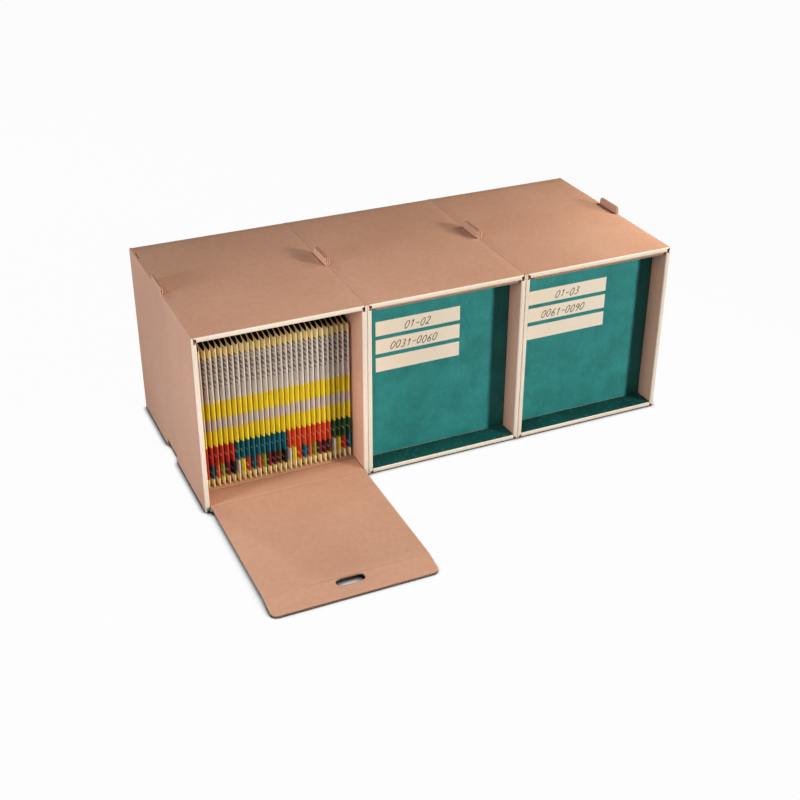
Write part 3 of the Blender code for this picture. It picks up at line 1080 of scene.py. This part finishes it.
stageLook = {
    "floorSize": 14.0,
    "floorTone": (0.5, 0.5, 0.5, 1),
    # painted shade: near the object's edges the floor's colour is mixed towards this dark tone by how closed
    # in the floor is, and the white glow fades
    "floorShade": (0.03, 0.03, 0.035, 1),   # under the object's edges
    "floorBounce": (0.16, 0.16, 0.16, 1),   # its tone for the light it throws back, so shadows stay deep
    "floorGlow": 0.97,       # share of the floor that is plain white for the camera, away from the object
    "contact": 14 * mm,      # near the object the floor shows its own shade
    "glowShares": (0.56, 0.86),    # how open the floor is where its white begins and is full
    "shadeShares": (0.50, 0.80),   # the same for its own tone
    "sky": (0.03, 0.03, 0.034, 1),
}
lamps = {
    # kind, place, point aimed at, power, size, tone, and a spot's angle
    "key": ("SPOT", (2.79, -3.35, 1.28), (-0.16, -0.12, 0.34), 750, 0.60, (1, 0.975, 0.94), 34),
    "overhead": ("SPOT", (-0.20, -0.40, 1.95), (-0.20, -0.44, 0.0), 50, 0.40, (1, 0.97, 0.95), 50),
    "overRight": ("AREA", (0.62, -0.12, 0.62), (0.25, -0.05, 0.3), 2.0, 0.20, (1, 0.96, 0.90)),
    "left": ("AREA", (-1.90, -0.47, 0.50), (-0.1, -0.12, 0.14), 20.5, 0.45, (0.88, 0.97, 1.12)),
    "rear": ("AREA", (-1.20, 1.80, 1.25), (-0.2, 0.0, 0.15), 11, 0.30, (1, 0.99, 0.97)),
    "files": ("SPOT", (-0.95, -1.35, 0.40), (-0.27, -0.14, 0.15), 36, 0.20, (1, 0.99, 0.96), 13),
}


def makeFloor():
    half = stageLook["floorSize"] / 2
    mesh = bpy.data.meshes.new("floor")
    ring = [(x * half, y * half, -touch) for x, y in ((-1, -1), (1, -1), (1, 1), (-1, 1))]
    mesh.from_pydata(ring, [], [(0, 1, 2, 3)])
    floor = bpy.data.objects.new("floor", mesh)
    bpy.context.scene.collection.objects.link(floor)
    finish = bpy.data.materials.new("paleFloor")
    finish.use_nodes = True
    tree = finish.node_tree
    tree.nodes.clear()
    ray = addNode(tree, "ShaderNodeLightPath", {})
    reach = {"Distance": stageLook["contact"]}
    # near the object the floor's colour goes dark by occlusion and its white glow fades: painted contact
    # shade
    clear = addNode(tree, "ShaderNodeAmbientOcclusion", reach, samples=8).outputs["AO"]
    clearOfPaintedShade = ramped(tree, clear, *stageLook["shadeShares"])
    near = mixed(tree, clearOfPaintedShade, stageLook["floorShade"], stageLook["floorTone"])
    tone = mixed(tree, ray.outputs["Is Diffuse Ray"], near, stageLook["floorBounce"])
    matt = addNode(tree, "ShaderNodeBsdfDiffuse", {"Color": tone}).outputs[0]
    glow = addNode(tree, "ShaderNodeEmission", {"Color": (1, 1, 1, 1), "Strength": 1.0}).outputs[0]
    seen = ray.outputs["Is Camera Ray"]
    white = ramped(tree, clear, *stageLook["glowShares"], 0, stageLook["floorGlow"])
    share = calc(tree, "MULTIPLY", seen, white)
    mix = addNode(tree, "ShaderNodeMixShader", {0: share, 1: matt, 2: glow}).outputs[0]
    addNode(tree, "ShaderNodeOutputMaterial", {"Surface": mix})
    mesh.materials.append(finish)


def makeWorld():
    world = bpy.data.worlds.new("studio")
    bpy.context.scene.world = world
    world.use_nodes = True
    tree = world.node_tree
    tree.nodes.clear()
    sky = addNode(tree, "ShaderNodeBackground", {"Color": stageLook["sky"], "Strength": 1.0}).outputs[0]
    white = addNode(tree, "ShaderNodeBackground", {"Color": (1, 1, 1, 1), "Strength": 1.0}).outputs[0]
    ray = addNode(tree, "ShaderNodeLightPath", {})
    seen = ray.outputs["Is Camera Ray"]
    mix = addNode(tree, "ShaderNodeMixShader", {0: seen, 1: sky, 2: white}).outputs[0]
    addNode(tree, "ShaderNodeOutputWorld", {"Surface": mix})


def makeLamp(name, kind, place, aim, power, size, tone, angle=None):
    data = bpy.data.lights.new(name, kind)
    data.energy = power
    data.color = tone
    if kind == "AREA":
        data.shape = "DISK"
        data.size = size
    else:
        data.shadow_soft_size = size / 2
        data.spot_size = math.radians(angle)
        data.spot_blend = 1.0
    lamp = bpy.data.objects.new(name, data)
    lamp.location = place
    lamp.rotation_mode = "QUATERNION"
    lamp.rotation_quaternion = (Vector(aim) - Vector(place)).to_track_quat("-Z", "Y")
    lamp.visible_camera = False
    bpy.context.scene.collection.objects.link(lamp)


cameraLook = {
    "azimuth": -24.448,
    "elevation": 29.983,
    "roll": 0.231,
    "lens": 58.12,
    "target": (-0.0804, -0.176, 0.1229),
    "distance": 2.01,
}


def makeCamera():
    azimuth, elevation, roll = (math.radians(cameraLook[key]) for key in ("azimuth", "elevation", "roll"))
    back = Vector((math.sin(azimuth) * math.cos(elevation), -math.cos(azimuth) * math.cos(elevation),
                   math.sin(elevation)))
    right = (-back).cross(Vector((0, 0, 1))).normalized()
    up = right.cross(-back)
    turnedRight = right * math.cos(roll) + up * math.sin(roll)
    turnedUp = up * math.cos(roll) - right * math.sin(roll)
    data = bpy.data.cameras.new("camera")
    data.lens = cameraLook["lens"]
    data.sensor_width = 36
    camera = bpy.data.objects.new("camera", data)
    bpy.context.scene.collection.objects.link(camera)
    place = Vector(cameraLook["target"]) + back * cameraLook["distance"]
    turn = Matrix((turnedRight, turnedUp, back)).transposed().to_4x4()
    camera.matrix_world = Matrix.Translation(place) @ turn
    bpy.context.scene.camera = camera


makeFloor()
makeWorld()
for name, values in lamps.items():
    makeLamp(name + "Lamp", *values)
makeCamera()
bpy.context.scene.view_settings.view_transform = "Standard"
print("stage set")
